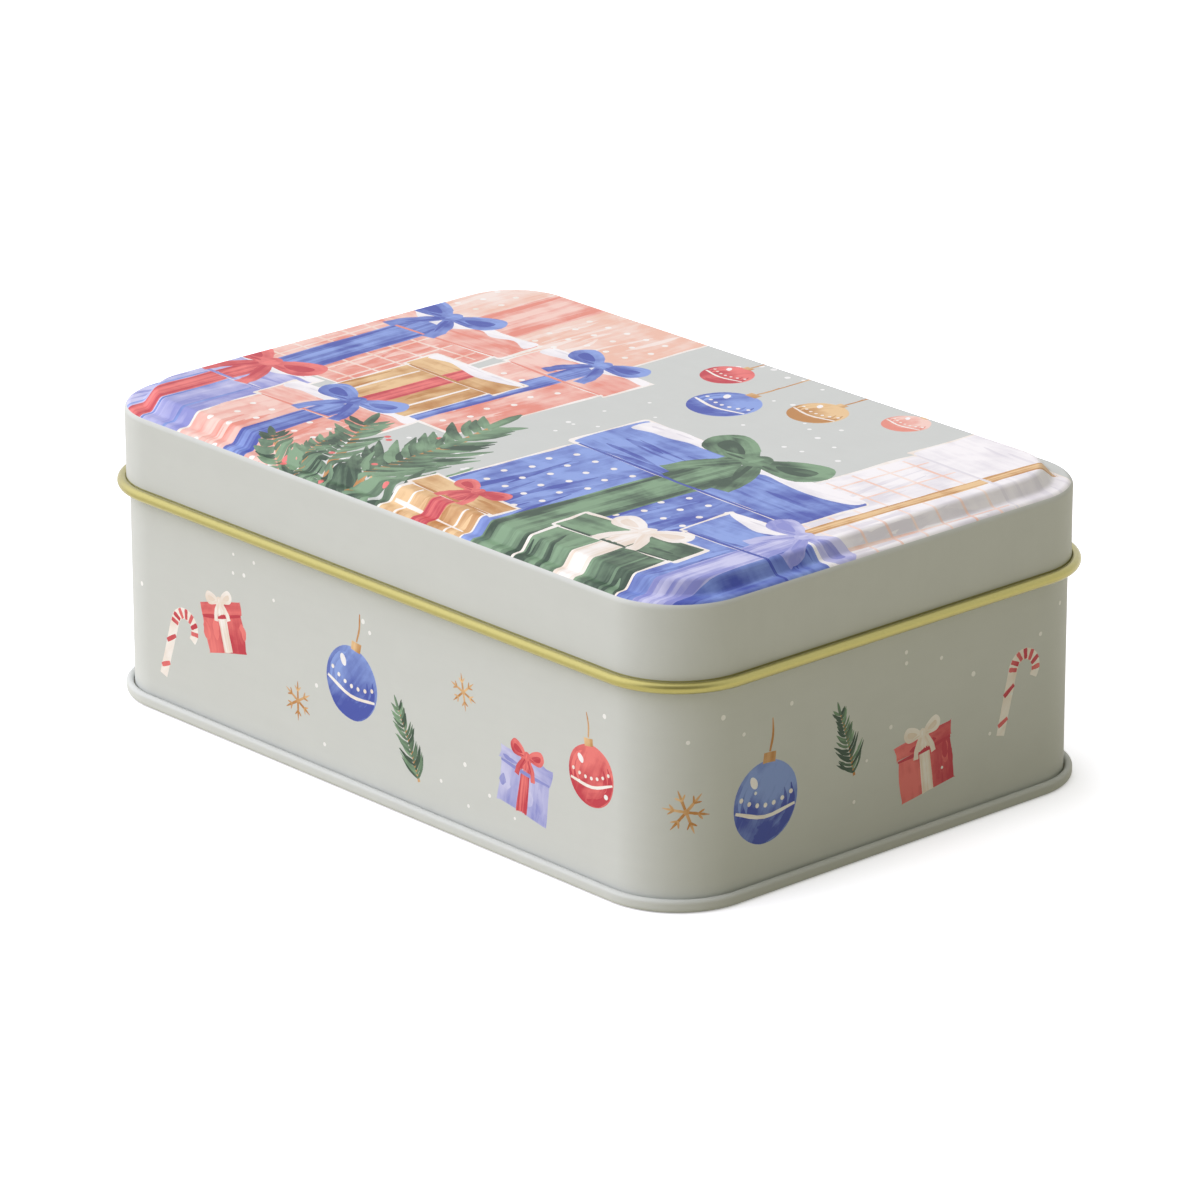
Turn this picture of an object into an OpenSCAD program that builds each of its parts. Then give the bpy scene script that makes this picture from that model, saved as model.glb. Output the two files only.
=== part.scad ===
// Small rectangular candle tin with a slip-on lid: a bent and curled wall, a seamed-on
// bottom, a stamped lid, and a poured soy candle with two wicks inside.
// Millimetres, +Z up. The origin is the centre of the tin's plan, on the floor.
// X runs along the long side, and -Y is the long front side.

/* [Tin body] */
// Outside length of the wall
tin_length = 103; // [80:0.5:140]
// Outside width of the wall
tin_width = 68.6; // [56:0.1:100]
// Outside radius of the wall's upright corners
corner_radius = 9.4; // [8:0.1:14]
// Thickness of the tinplate
sheet = 0.23; // [0.2:0.01:0.26]
// Radius of the inward curl at the wall's top edge
top_curl_radius = 0.7; // [0.6:0.05:0.9]
// Width of the lap at the back, where the sheet's two ends meet
lap_width = 4; // [2:0.5:8]
// Width of the fine line where the sheet's outer end stops
lap_line = 0.16; // [0.1:0.02:0.3]

/* [Bottom seam] */
// Straight length of the wall's hook inside the folded seam
hook_length = 0.32; // [0.3:0.01:1.2]
// Clearance between the layers of the folded seam
layer_gap = 0.12; // [0.08:0.01:0.14]
// Outside radius of the seam's rolled lower edge
roll_radius = 0.62; // [0.4:0.01:0.66]
// Outside radius of the folds on the bottom's inner side
fold_radius = 0.45; // [0.3:0.01:0.5]
// Height of the bottom's underside above the floor
bottom_recess = 1.6; // [1.2:0.1:1.8]
// Depth of the line of lining compound above the wall's turned edge
compound_height = 0.15; // [0.05:0.01:0.25]
// Gap between the compound and the tinplate round it
compound_gap = 0.02; // [0.01:0.01:0.04]

/* [Lid] */
// Clearance between the lid's skirt and the wall
lid_clearance = 0.2; // [0.18:0.01:0.4]
// Gap between the lid's ledge and the wall's top curl
lid_seat_gap = 0.1; // [0.05:0.01:0.3]
// Height of the lid's ledge above the floor
ledge_height = 37.2; // [32:0.1:60]
// Depth of the lid, from its ledge to the bottom of its curl
skirt_depth = 10.6; // [7:0.1:16]
// Outside radius of the rolled edge round the skirt
lid_curl_radius = 0.68; // [0.62:0.01:1]
// How far round the rolled edge turns before it stops, in degrees
lid_curl_turn = 305; // [240:1:305]
// Radius of the soft edge between skirt and ledge
edge_radius = 0.9; // [0.6:0.05:1.2]
// Width of the flat ledge along the sides
ledge_width = 0.72; // [0.5:0.02:1.5]
// Rise from the ledge to the raised panel
panel_rise = 1.6; // [1.2:0.1:2.5]
// Slope of the step up to the panel, in degrees
step_angle = 50; // [40:1:60]
// Radius of the hollow at the foot of the step
step_foot_radius = 0.7; // [0.4:0.05:0.9]
// Radius of the soft shoulder at the top of the step
step_shoulder_radius = 1; // [0.5:0.05:1.2]
// Corner radius of the foot of the step, seen from above
step_corner_radius = 9.4; // [8:0.1:11]

/* [Lid travel] */
// How far the lid lifts off
lid_lift = 45; // [20:1:80]

/* [Candle] */
// Depth of the poured wax
wax_depth = 22.7; // [10:0.1:25]
// Gap that the wax leaves to the wall as it shrinks
wax_shrink = 0.06; // [0.04:0.01:0.2]
// Distance between the two wicks
wick_spacing = 48; // [36:1:56]
// Diameter of a wick
wick_diameter = 2.4; // [1.5:0.1:3.5]
// Length of wick that stands out of the wax
wick_stand = 6.5; // [4:0.5:8]
// Diameter of a wick's metal foot
foot_diameter = 15; // [10:0.5:20]
// Thickness of the metal of the foot and its neck
foot_metal = 0.3; // [0.2:0.05:0.5]
// Height of the neck that grips the wick
neck_height = 5; // [3:0.5:8]
// Clearance between neck and wick
neck_gap = 0.05; // [0.02:0.01:0.1]
// Diameter of the adhesive disc under a foot
sticker_diameter = 13; // [8:0.5:18]
// Thickness of the adhesive disc
sticker_thickness = 0.6; // [0.4:0.1:1.2]
// Gap between the wax and what is cast into it
cast_gap = 0.02; // [0.01:0.01:0.1]

/* [Hidden] */
// Steps in a quarter turn of a bent sheet
quarter_steps = 6;
// Overlap that lets cuts pass through a face
cut = 0.5;
// Overlap that joins a bend to the flat sheet beside it
join = 0.1;

// Offsets are measured outward from the wall's outer face.
chuck_out = -sheet - layer_gap;
cover_hook_in = layer_gap;
cover_hook_out = cover_hook_in + sheet;
body_hook_in = cover_hook_out + layer_gap;
seam_in = body_hook_in + sheet + layer_gap;
seam_out = seam_in + sheet;

// Heights in the bottom seam
wall_turn_radius = body_hook_in / 2;
wall_turn_z = layer_gap + 2 * sheet + wall_turn_radius;
cover_turn_radius = (seam_out - cover_hook_in) / 2;
cover_turn_z = wall_turn_z + hook_length;
seam_height = cover_turn_z + cover_turn_radius;
cover_hook_low = wall_turn_z + compound_height;
bottom_top = bottom_recess + sheet;
seam_clear = max(seam_height, bottom_top) + layer_gap;
panel_edge = chuck_out - fold_radius;

// Lid
lid_in = lid_clearance;
lid_out = lid_in + sheet;
lid_curl_z = ledge_height - skirt_depth + lid_curl_radius;
lid_curl_start = lid_curl_turn - 180;
ledge_start = lid_out - edge_radius;
step_start = ledge_start - ledge_width;
step_radii = step_foot_radius + step_shoulder_radius;
step_straight = panel_rise - step_radii * (1 - cos(step_angle));
step_reach = step_radii * sin(step_angle) + step_straight / tan(step_angle);
panel_start = step_start - step_reach;
panel_height = ledge_height + panel_rise;

// Top edge of the wall
wall_top = ledge_height - sheet - lid_seat_gap;
top_curl_z = wall_top - top_curl_radius;
top_curl_end = 300;
lap_top = top_curl_z - top_curl_radius - layer_gap;
lap_right = lap_width / 2;
lap_left = -lap_right;

// Candle
wax_bottom = bottom_top;
wax_top = wax_bottom + wax_depth;
foot_bottom = bottom_top + sticker_thickness;
foot_top = foot_bottom + foot_metal;
neck_top = foot_bottom + neck_height;
neck_bore = wick_diameter + 2 * neck_gap;
neck_diameter = neck_bore + 2 * foot_metal;
wick_top = wax_top + wick_stand;

// Points along an arc of radius r round c, from angle a to angle b
function arc(c, r, a, b) =
    let (n = max(2, ceil(abs(b - a) / 90 * quarter_steps)))
    [for (i = [0:n]) let (t = a + (b - a) * i / n) c + r * [cos(t), sin(t)]];

// Closed outline of a bent sheet, from one face to the other
function between(face, other) = concat(face, [for (i = [len(other) - 1:-1:0]) other[i]]);

// ---- Sweeps ----

// Sweeps a profile round a rounded rectangle, whose edge is the profile's x = 0
module swept(length, width, radius) {
    centre = [length / 2 - radius, width / 2 - radius];
    for (turn = [0:3]) {
        out = centre[turn % 2];
        side = centre[(turn + 1) % 2];
        rotate([0, 0, 90 * turn]) translate([out, side, 0]) {
            rotate([90, 0, 0]) linear_extrude(2 * side) translate([radius, 0]) children();
            rotate_extrude(angle = 90, $fn = 96) translate([radius, 0]) children();
        }
    }
}

// Rounded rectangle in plan, at an offset from the wall's outer face
module plan(offset, radius) {
    half = [tin_length / 2 + offset - radius, tin_width / 2 + offset - radius];
    square([2 * half[0] + 2 * radius, 2 * half[1]], center = true);
    square([2 * half[0], 2 * half[1] + 2 * radius], center = true);
    for (x = [-1, 1], y = [-1, 1])
        translate([x * half[0], y * half[1]]) circle(radius, $fn = 96);
}

// Sweeps a profile round the tin's wall
module round_wall() {
    swept(tin_length, tin_width, corner_radius) children();
}

// ---- Tin body ----

// Face of the wall's sheet at depth d, from the top curl down to the turned edge
function wall_face(d) = concat(
    arc([-top_curl_radius, top_curl_z], top_curl_radius - d, top_curl_end, 0),
    arc([wall_turn_radius, wall_turn_z], wall_turn_radius + d, 180, 360),
    [[body_hook_in + d, cover_turn_z]]);

// Upright block at the back, from one place along the lap to another
module at_lap(from, to, inside, outside, low, high) {
    translate([from, tin_width / 2 - inside, low]) cube([to - from, inside - outside, high - low]);
}

// Bent wall with its curled top edge, its turned foot and the lap at the back
module body_wall() {
    color([0.72, 0.75, 0.70]) {
        difference() {
            round_wall() polygon(between(wall_face(0), wall_face(sheet)));
            at_lap(lap_right - lap_line, lap_right, sheet + cut, -cut, seam_clear + sheet, lap_top - sheet);
        }
        at_lap(lap_left, lap_right + sheet, 2 * sheet, sheet, seam_clear, lap_top);
    }
}

// Face of the bottom's sheet at height d over its underside, from the panel to the hook
function bottom_face(d) = concat(
    [[panel_edge - join, bottom_recess + d]],
    arc([panel_edge, bottom_top - fold_radius], fold_radius - sheet + d, 90, 0),
    arc([chuck_out - sheet + fold_radius, fold_radius], fold_radius - d, 180, 270),
    arc([seam_out - roll_radius, roll_radius], roll_radius - d, 270, 360),
    arc([seam_out - cover_turn_radius, cover_turn_z], cover_turn_radius - d, 0, 180),
    [[cover_hook_in + d, cover_hook_low]]);

// Recessed bottom, folded up round the wall's turned edge to make the visible foot
module bottom_plate() {
    color([0.67, 0.72, 0.68]) {
        round_wall() polygon(between(bottom_face(0), bottom_face(sheet)));
        translate([0, 0, bottom_recess]) linear_extrude(sheet)
            plan(panel_edge, corner_radius + panel_edge);
    }
}

// Line of lining compound that keeps the folded seam tight
module seam_compound() {
    c = [wall_turn_radius, wall_turn_z];
    r = wall_turn_radius - compound_gap;
    top = cover_hook_low - compound_gap;
    color([0.83, 0.80, 0.70])
        round_wall() polygon(concat(arc(c, r, 180, 360), [[c[0] + r, top], [c[0] - r, top]]));
}

// ---- Lid ----

// Face of the skirt's sheet at depth d, from the rolled edge up to the ledge
function skirt_face(d) = concat(
    arc([lid_in + lid_curl_radius, lid_curl_z], lid_curl_radius - d, lid_curl_start, -180),
    arc([ledge_start, ledge_height - edge_radius], edge_radius - sheet + d, 0, 90),
    [[ledge_start - join, ledge_height - sheet + d]]);

// Face of the step's sheet at depth d, from its foot up to the panel
function step_face(d) = concat(
    [[join, ledge_height - sheet + d]],
    arc([0, ledge_height + step_foot_radius], step_foot_radius + sheet - d, 270, 270 - step_angle),
    arc([-step_reach, panel_height - step_shoulder_radius], step_shoulder_radius - sheet + d,
        90 - step_angle, 90),
    [[-step_reach - join, panel_height - sheet + d]]);

// Stamped lid: rolled edge, skirt, narrow ledge, soft step and raised panel
module lid() {
    color([0.70, 0.74, 0.70]) {
        round_wall() polygon(between(skirt_face(0), skirt_face(sheet)));
        translate([0, 0, ledge_height - sheet]) linear_extrude(sheet) difference() {
            plan(ledge_start, corner_radius + ledge_start);
            plan(step_start, step_corner_radius);
        }
        swept(tin_length + 2 * step_start, tin_width + 2 * step_start, step_corner_radius)
            polygon(between(step_face(0), step_face(sheet)));
        translate([0, 0, panel_height - sheet]) linear_extrude(sheet)
            plan(panel_start, step_corner_radius - step_reach);
    }
}

// ---- Candle ----

module at_wick(side) {
    translate([side * wick_spacing / 2, 0, 0]) children();
}

// Upright cylinder between two heights
module post(diameter, low, high) {
    translate([0, 0, low]) cylinder(d = diameter, h = high - low, $fn = 48);
}

// Poured wax, cast round the wicks and their feet
module soy_wax() {
    inset = -sheet - wax_shrink;
    color([0.95, 0.91, 0.80]) difference() {
        translate([0, 0, wax_bottom]) linear_extrude(wax_depth) plan(inset, corner_radius + inset);
        at_lap(lap_left - wax_shrink, lap_right + sheet + wax_shrink, 2 * sheet + wax_shrink, -cut,
            wax_bottom - cut, wax_top + cut);
        for (side = [-1, 1]) at_wick(side) {
            post(foot_diameter + 2 * cast_gap, wax_bottom - cut, foot_top + cast_gap);
            post(neck_diameter + 2 * cast_gap, foot_bottom, neck_top + cast_gap);
            post(wick_diameter + 2 * cast_gap, neck_top, wax_top + cut);
        }
    }
}

module wick(side) {
    color([0.93, 0.90, 0.84]) at_wick(side) post(wick_diameter, foot_bottom, wick_top);
}

// Metal foot with the neck that grips the wick
module wick_foot(side) {
    color([0.75, 0.75, 0.73]) at_wick(side) difference() {
        union() {
            post(foot_diameter, foot_bottom, foot_top);
            post(neck_diameter, foot_bottom, neck_top);
        }
        post(neck_bore, foot_bottom - cut, neck_top + cut);
    }
}

// Adhesive disc that holds the foot to the bottom
module wick_sticker(side) {
    color([0.90, 0.88, 0.82]) at_wick(side) post(sticker_diameter, bottom_top, foot_bottom);
}

body_wall();
bottom_plate();
seam_compound();
lid();
soy_wax();
wick(-1);  // wick_1
wick(1);  // wick_2
wick_foot(-1);  // wick_foot_1
wick_foot(1);  // wick_foot_2
wick_sticker(-1);  // wick_sticker_1
wick_sticker(1);  // wick_sticker_2
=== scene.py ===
# %% [markdown]
# # A printed candle tin with a slip-on lid
#
# The tin is three thin shells of tinplate: a bent wall, a bottom folded onto it, and a stamped lid. Inside is a
# poured soy candle with two wicks. The sheet is printed and lacquered flat, so the picture runs over the lid's
# step. The measured parts come first, and everything is built round them in metres.

# %% Load the measured parts
import random
from math import atan2, cos, degrees, dist, pi, radians, sin, tan

import bmesh
import bpy
import numpy as np
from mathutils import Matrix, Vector, geometry


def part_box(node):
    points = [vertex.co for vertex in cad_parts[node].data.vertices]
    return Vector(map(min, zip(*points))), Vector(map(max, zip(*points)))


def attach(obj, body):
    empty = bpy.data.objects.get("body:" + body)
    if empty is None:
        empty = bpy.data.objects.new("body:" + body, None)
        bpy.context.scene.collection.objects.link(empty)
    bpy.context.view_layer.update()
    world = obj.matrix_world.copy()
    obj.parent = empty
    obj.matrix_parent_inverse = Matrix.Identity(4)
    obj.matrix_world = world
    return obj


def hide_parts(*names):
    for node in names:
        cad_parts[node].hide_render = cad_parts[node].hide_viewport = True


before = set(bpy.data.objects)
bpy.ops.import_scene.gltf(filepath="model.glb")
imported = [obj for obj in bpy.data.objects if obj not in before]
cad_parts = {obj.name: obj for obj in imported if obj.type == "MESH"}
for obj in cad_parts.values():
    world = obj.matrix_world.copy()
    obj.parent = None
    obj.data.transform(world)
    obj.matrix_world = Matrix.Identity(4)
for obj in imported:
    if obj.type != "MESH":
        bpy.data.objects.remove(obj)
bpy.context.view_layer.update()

print("nodes:", sorted(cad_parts))

# %% [markdown]
# ## Sizes
#
# The sheet, its gaps and its bend radii are workshop values. The overall sizes are read from the measured parts.

# %% Sizes of the sheet and its bends, in millimetres
MM = 0.001
SHEET = 0.23
LAYER_GAP = 0.12
CORNER = 9.4
TOP_CURL = 0.7
TOP_STEPS = 26
FOLD = 0.45
ROLL = 0.62
HOOK = 0.32
COMPOUND = 0.15
LID_GAP = 0.2
LID_CURL = 0.68
LID_CURL_TURN = 305
# Top of the olive band above the rolled edge's middle, painted as shade over the gold lacquer's lap.
SHADE_BAND_TOP = 0.72
SOFT_EDGE = 0.9
SOFT_STEPS = 10
LEDGE = 0.72
PANEL_RISE = 1.6
STEP_SLOPE = 50
STEP_FOOT = 0.7
STEP_SHOULDER = 1.0
STEP_CORNER = 9.4
LAP = 4.0
LAP_LINE = 0.16
SEAM_OUT = 3 * (LAYER_GAP + SHEET)


def size_of(node):
    """Lowest and highest corner of a measured part, in millimetres."""
    return [[v / MM for v in corner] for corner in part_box(node)]


foot_high = size_of("bottom_plate")[1]
lid_low, lid_high = size_of("lid")
wax_low, wax_high = size_of("soy_wax")
HALF_X = foot_high[0] - SEAM_OUT
HALF_Y = foot_high[1] - SEAM_OUT
BOTTOM_TOP = wax_low[2]
PANEL_Z = lid_high[2]
LEDGE_Z = PANEL_Z - PANEL_RISE
WALL_TOP = size_of("body_wall")[1][2]
print(f"wall {2 * HALF_X:.1f} x {2 * HALF_Y:.1f} mm, lid top {PANEL_Z:.1f} mm")

# %% [markdown]
# ## Camera
#
# The tin is seen from well back through a long lens, a little from above, with its long side on the left.

# %% Camera
VIEW_DISTANCE = 0.8410
AIM_SIDE = 0.0010
AIM_HEIGHT = 0.0156
FOCAL_LENGTH = 208.53
SENSOR_WIDTH = 36
view_turn, view_rise, view_roll = (radians(a) for a in (47.867, 20.027, -0.09))
VIEW_FROM = Vector((sin(view_turn) * cos(view_rise), -cos(view_turn) * cos(view_rise), sin(view_rise)))


def new_object(name, data):
    item = bpy.data.objects.new(name, data)
    bpy.context.scene.collection.objects.link(item)
    return item


def place_camera():
    right = Vector((cos(view_turn), sin(view_turn), 0))
    up = VIEW_FROM.cross(right)
    right, up = (right * cos(view_roll) + up * sin(view_roll), up * cos(view_roll) - right * sin(view_roll))
    data = bpy.data.cameras.new("camera")
    data.lens = FOCAL_LENGTH
    data.sensor_width = SENSOR_WIDTH
    camera = new_object("camera", data)
    matrix = camera.matrix_world.copy()
    for row in range(3):
        matrix[row][:3] = right[row], up[row], VIEW_FROM[row]
    matrix.translation = VIEW_FROM * VIEW_DISTANCE + right * AIM_SIDE + up * AIM_HEIGHT
    camera.matrix_world = matrix
    bpy.context.scene.camera = camera
    print("camera at", [round(v, 3) for v in camera.location])


place_camera()

# %% [markdown]
# ## Colours and node helpers
#
# Colours are sRGB hex values, as on a screen, and one function turns them to the linear values of Blender's
# sockets. The others add a node, fill or link its inputs, and give the output that is used next.

# %% Colours and nodes
def linear(hex_code):
    """Linear RGBA of an sRGB hex colour."""
    parts = [int(hex_code[i:i + 2], 16) / 255 for i in (1, 3, 5)]
    return [c / 12.92 if c <= 0.04045 else ((c + 0.055) / 1.055) ** 2.4 for c in parts] + [1.0]


class Nodes:
    def __init__(self, tree):
        self.tree = tree

    def fill(self, node, inputs):
        """Fills or links a node's inputs by name or number."""
        for key, value in inputs.items():
            if isinstance(value, bpy.types.NodeSocket):
                self.tree.links.new(value, node.inputs[key])
            else:
                node.inputs[key].default_value = value

    def add(self, kind, inputs=None, out=0, **settings):
        """Adds a node and gives one of its outputs."""
        kinds = [start + kind for start in ("ShaderNode", "GeometryNode", "Node")]
        new = self.tree.nodes.new(next(k for k in kinds if hasattr(bpy.types, k)))
        for key, value in settings.items():
            setattr(new, key, value)
        self.fill(new, inputs or {})
        return new.outputs[out] if new.outputs else None

    def place(self):
        return self.add("TexCoord", out="Object")

    def math(self, operation, *values):
        return self.add("Math", dict(enumerate(values)), operation=operation)

    def noise(self, size, detail, vector=None, **inputs):
        """Noise of a grain's size, over the object unless a vector is given."""
        return self.add("TexNoise", {"Vector": vector or self.place(), "Scale": 1 / size, "Detail": detail,
            **inputs})

    def span(self, value, low, high, start=0.0, end=1.0, **settings):
        """Maps a value's range from start to end onto low to high."""
        return self.add("MapRange", {"Value": value, "From Min": start, "From Max": end, "To Min": low,
            "To Max": high}, **settings)

    def blend(self, factor, pair, **settings):
        return self.add("Mix", {"Factor": factor, "A": pair[0], "B": pair[1]}, "Result", data_type="RGBA",
            **settings)

    def bump(self, height, strength, depth):
        return self.add("Bump", {"Height": height, "Strength": strength, "Distance": depth * MM})


def new_material(name):
    material = bpy.data.materials.new(name)
    material.use_nodes = True
    return material, Nodes(material.node_tree), material.node_tree.nodes["Principled BSDF"]


# %% [markdown]
# ## Bent sheet in section
#
# A shell is one sheet, so its section is a line with a thickness. A row of a section holds a point, as its
# distance out from the wall's face and its height, and the way the printed side faces there. The other side
# lies one thickness behind it.

# %% Sections of the sheet
def around(angles):
    """Directions at angles."""
    return np.column_stack([np.cos(angles), np.sin(angles)])


def arc(centre, radius, start, end, steps, hollow=False):
    """Rows along an arc, in degrees. A hollow arc faces its centre."""
    out = around(np.radians(np.linspace(start, end, steps + 1)))
    return np.hstack([np.array(centre) + radius * out, -out if hollow else out])


def lengths_along(section):
    """Distance along the sheet to each row of a section."""
    return np.concatenate([[0], np.cumsum(np.hypot(*np.diff(section[:, :2], axis=0).T))])


lid_out = LID_GAP + SHEET
curl_z = lid_low[2] + LID_CURL
ledge_start = lid_out - SOFT_EDGE
step_start = ledge_start - LEDGE
step_radii = STEP_FOOT + STEP_SHOULDER
slope = radians(STEP_SLOPE)
step_reach = step_radii * sin(slope) + (PANEL_RISE - step_radii * (1 - cos(slope))) / tan(slope)
skirt_section = np.vstack([
    arc((ledge_start, LEDGE_Z - SOFT_EDGE), SOFT_EDGE, 90, 0, SOFT_STEPS),
    [[lid_out, curl_z + SHADE_BAND_TOP, 1, 0]],
    arc((LID_GAP + LID_CURL, curl_z), LID_CURL - SHEET, 180, 180 + LID_CURL_TURN, 30, hollow=True)])
step_section = np.vstack([
    arc((0, LEDGE_Z + STEP_FOOT), STEP_FOOT, 270, 270 - STEP_SLOPE, 8, hollow=True),
    arc((-step_reach, PANEL_Z - STEP_SHOULDER), STEP_SHOULDER, 90 - STEP_SLOPE, 90, 10)])

hook_gap = 2 * LAYER_GAP + SHEET
wall_curl_z = WALL_TOP - TOP_CURL
wall_turn_z = LAYER_GAP + 2 * SHEET + hook_gap / 2
cover_radius = (SEAM_OUT - LAYER_GAP) / 2
cover_z = wall_turn_z + HOOK
wall_section = np.vstack([
    arc((-TOP_CURL, wall_curl_z), TOP_CURL, 300, 0, TOP_STEPS),
    arc((hook_gap / 2, wall_turn_z), hook_gap / 2, 180, 360, 8, hollow=True),
    [[hook_gap, cover_z, -1, 0]]])
print("sheet in the skirt:", round(lengths_along(skirt_section)[-1], 1), "mm")

# %% [markdown]
# ## Rounded rectangles
#
# From above, every line of the tin is a rounded rectangle. One function gives its outline, another how far and
# in which direction a point lies outside it.

# %% Outlines and distances
CORNER_STEPS = 24


def outline(offset, corner=None):
    """Outline at an offset from the wall's face, with concentric corners unless given."""
    radius = CORNER + offset if corner is None else corner
    turns = np.radians(np.linspace(0, 90, CORNER_STEPS + 1))
    centre = np.array([HALF_X, HALF_Y]) + offset - radius
    return np.vstack([np.array(way) * centre + radius * around(turns + quarter * pi / 2)
            for quarter, way in enumerate([(1, 1), (-1, 1), (-1, -1), (1, -1)])])


def beyond(points, offset=0.0, corner=CORNER):
    """How far points lie outside a rounded rectangle, and the way out of it."""
    q = np.abs(points) - (np.array([HALF_X, HALF_Y]) + offset - corner)
    out = np.maximum(q, 0)
    length = np.hypot(*out.T)
    distance = length + np.minimum(q.max(axis=1), 0) - corner
    round_corner = (q > 0).all(axis=1)
    straight = np.eye(2)[np.argmax(q, axis=1)]
    way = np.where(round_corner[:, None], out / np.maximum(length, 1e-9)[:, None], straight)
    return distance, way * np.where(points < 0, -1, 1)


# %% [markdown]
# ## Forming the blanks
#
# The lid starts as a flat printed blank, whose edge the press draws down. A point inside the ledge only takes its
# height from the step, and beyond it is carried along the skirt's section by its length of sheet. The wall
# starts as a flat strip that runs once round the tin from the lap at the back. Its height is the tin's own on
# the straight part, so a motif keeps its size.

# %% Form the lid's blank
skirt_lengths = ledge_start + lengths_along(skirt_section)


def placed(plan, height, side, up):
    facing = np.column_stack([side, up])
    return np.column_stack([plan, height]), facing / np.linalg.norm(facing, axis=1)[:, None]


def form_lid(points):
    """Places and facings of blank points on the lid's printed side."""
    distance, way = beyond(points)
    climb, climb_way = beyond(points, step_start, STEP_CORNER)
    order = np.argsort(step_section[:, 0])
    step = [np.interp(climb, step_section[order, 0], step_section[order, k]) for k in (1, 2, 3)]
    skirt = [np.interp(distance, skirt_lengths, skirt_section[:, k]) for k in range(4)]
    bent = distance > ledge_start
    foot = points - way * distance[:, None]
    plan = np.where(bent[:, None], foot + way * skirt[0][:, None], points)
    side = np.where(bent[:, None], way * skirt[2][:, None], climb_way * step[1][:, None])
    return placed(plan, np.where(bent, skirt[1], step[0]), side, np.where(bent, skirt[3], step[2]))


# %% Form the wall's strip
side_x, side_y, quarter_turn = 2 * (HALF_X - CORNER), 2 * (HALF_Y - CORNER), CORNER * pi / 2
lap_start = LAP / 2 - LAP_LINE
stations = np.cumsum([0, lap_start + side_x / 2, quarter_turn, side_y, quarter_turn, side_x, quarter_turn,
        side_y, quarter_turn, side_x / 2 - LAP / 2])
strip_length = stations[-1]
wall_run = lengths_along(wall_section)
wall_heights = wall_section[TOP_STEPS, 1] + wall_run[TOP_STEPS] - wall_run


def round_the_tin(u):
    """Point on the wall's outline and the way out of it, for a distance from the lap."""
    x, y = HALF_X - CORNER, HALF_Y - CORNER
    leg = np.clip(np.searchsorted(stations, u, side="right") - 1, 0, len(stations) - 2)
    inner = u - stations[leg]
    centres = np.array([[lap_start, y], [-x, y], [-x, y], [-x, -y], [-x, -y], [x, -y], [x, -y], [x, y], [x, y]])
    headings = np.radians([90, 90, 180, 180, 270, 270, 360, 360, 450])
    curved = leg % 2 == 1
    way = around(headings[leg] + np.where(curved, inner / CORNER, 0))
    ahead = np.column_stack([-way[:, 1], way[:, 0]])
    start = centres[leg] + ahead * np.where(curved, 0, inner)[:, None]
    return start + way * CORNER, way


def form_wall(points):
    """Places and facings of strip points on the wall's printed side."""
    line, way = round_the_tin(points[:, 0])
    row = [np.interp(-points[:, 1], -wall_heights, wall_section[:, k]) for k in range(4)]
    return placed(line + way * row[0][:, None], row[1], way * row[2][:, None], row[3])


print(f"strip of {strip_length:.1f} mm, {wall_heights[0] - wall_heights[-1]:.1f} mm wide")

# %% [markdown]
# ## A picture of painted shapes
#
# A canvas keeps flat shapes in millimetres, each with a paint and the direction of its brush marks. A later
# shape covers an earlier one. Painted edges waver and strokes taper. Shapes are drawn round a place that is set
# first, and all chance comes from the canvas's dice.

# %% A canvas of painted shapes
def smooth(points, closed=False, steps=4):
    """A smooth line through points."""
    p = np.asarray(points, float)
    ends = (p[-1:], p[:2]) if closed else (2 * p[:1] - p[1:2], 2 * p[-1:] - p[-2:-1])
    p = np.vstack([ends[0], p, ends[1]])
    t = np.linspace(0, 1, steps, endpoint=False)[:, None]
    spans = [0.5 * (2 * b + (c - a) * t + (2 * a - 5 * b + 4 * c - d) * t ** 2 + (3 * b - a - 3 * c + d) * t ** 3)
            for a, b, c, d in zip(p, p[1:], p[2:], p[3:])]
    return np.vstack(spans if closed else spans + [p[-2:-1]])


def turning(angle):
    """Matrix that turns rows of points."""
    return np.array([[cos(angle), sin(angle)], [-sin(angle), cos(angle)]])


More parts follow.
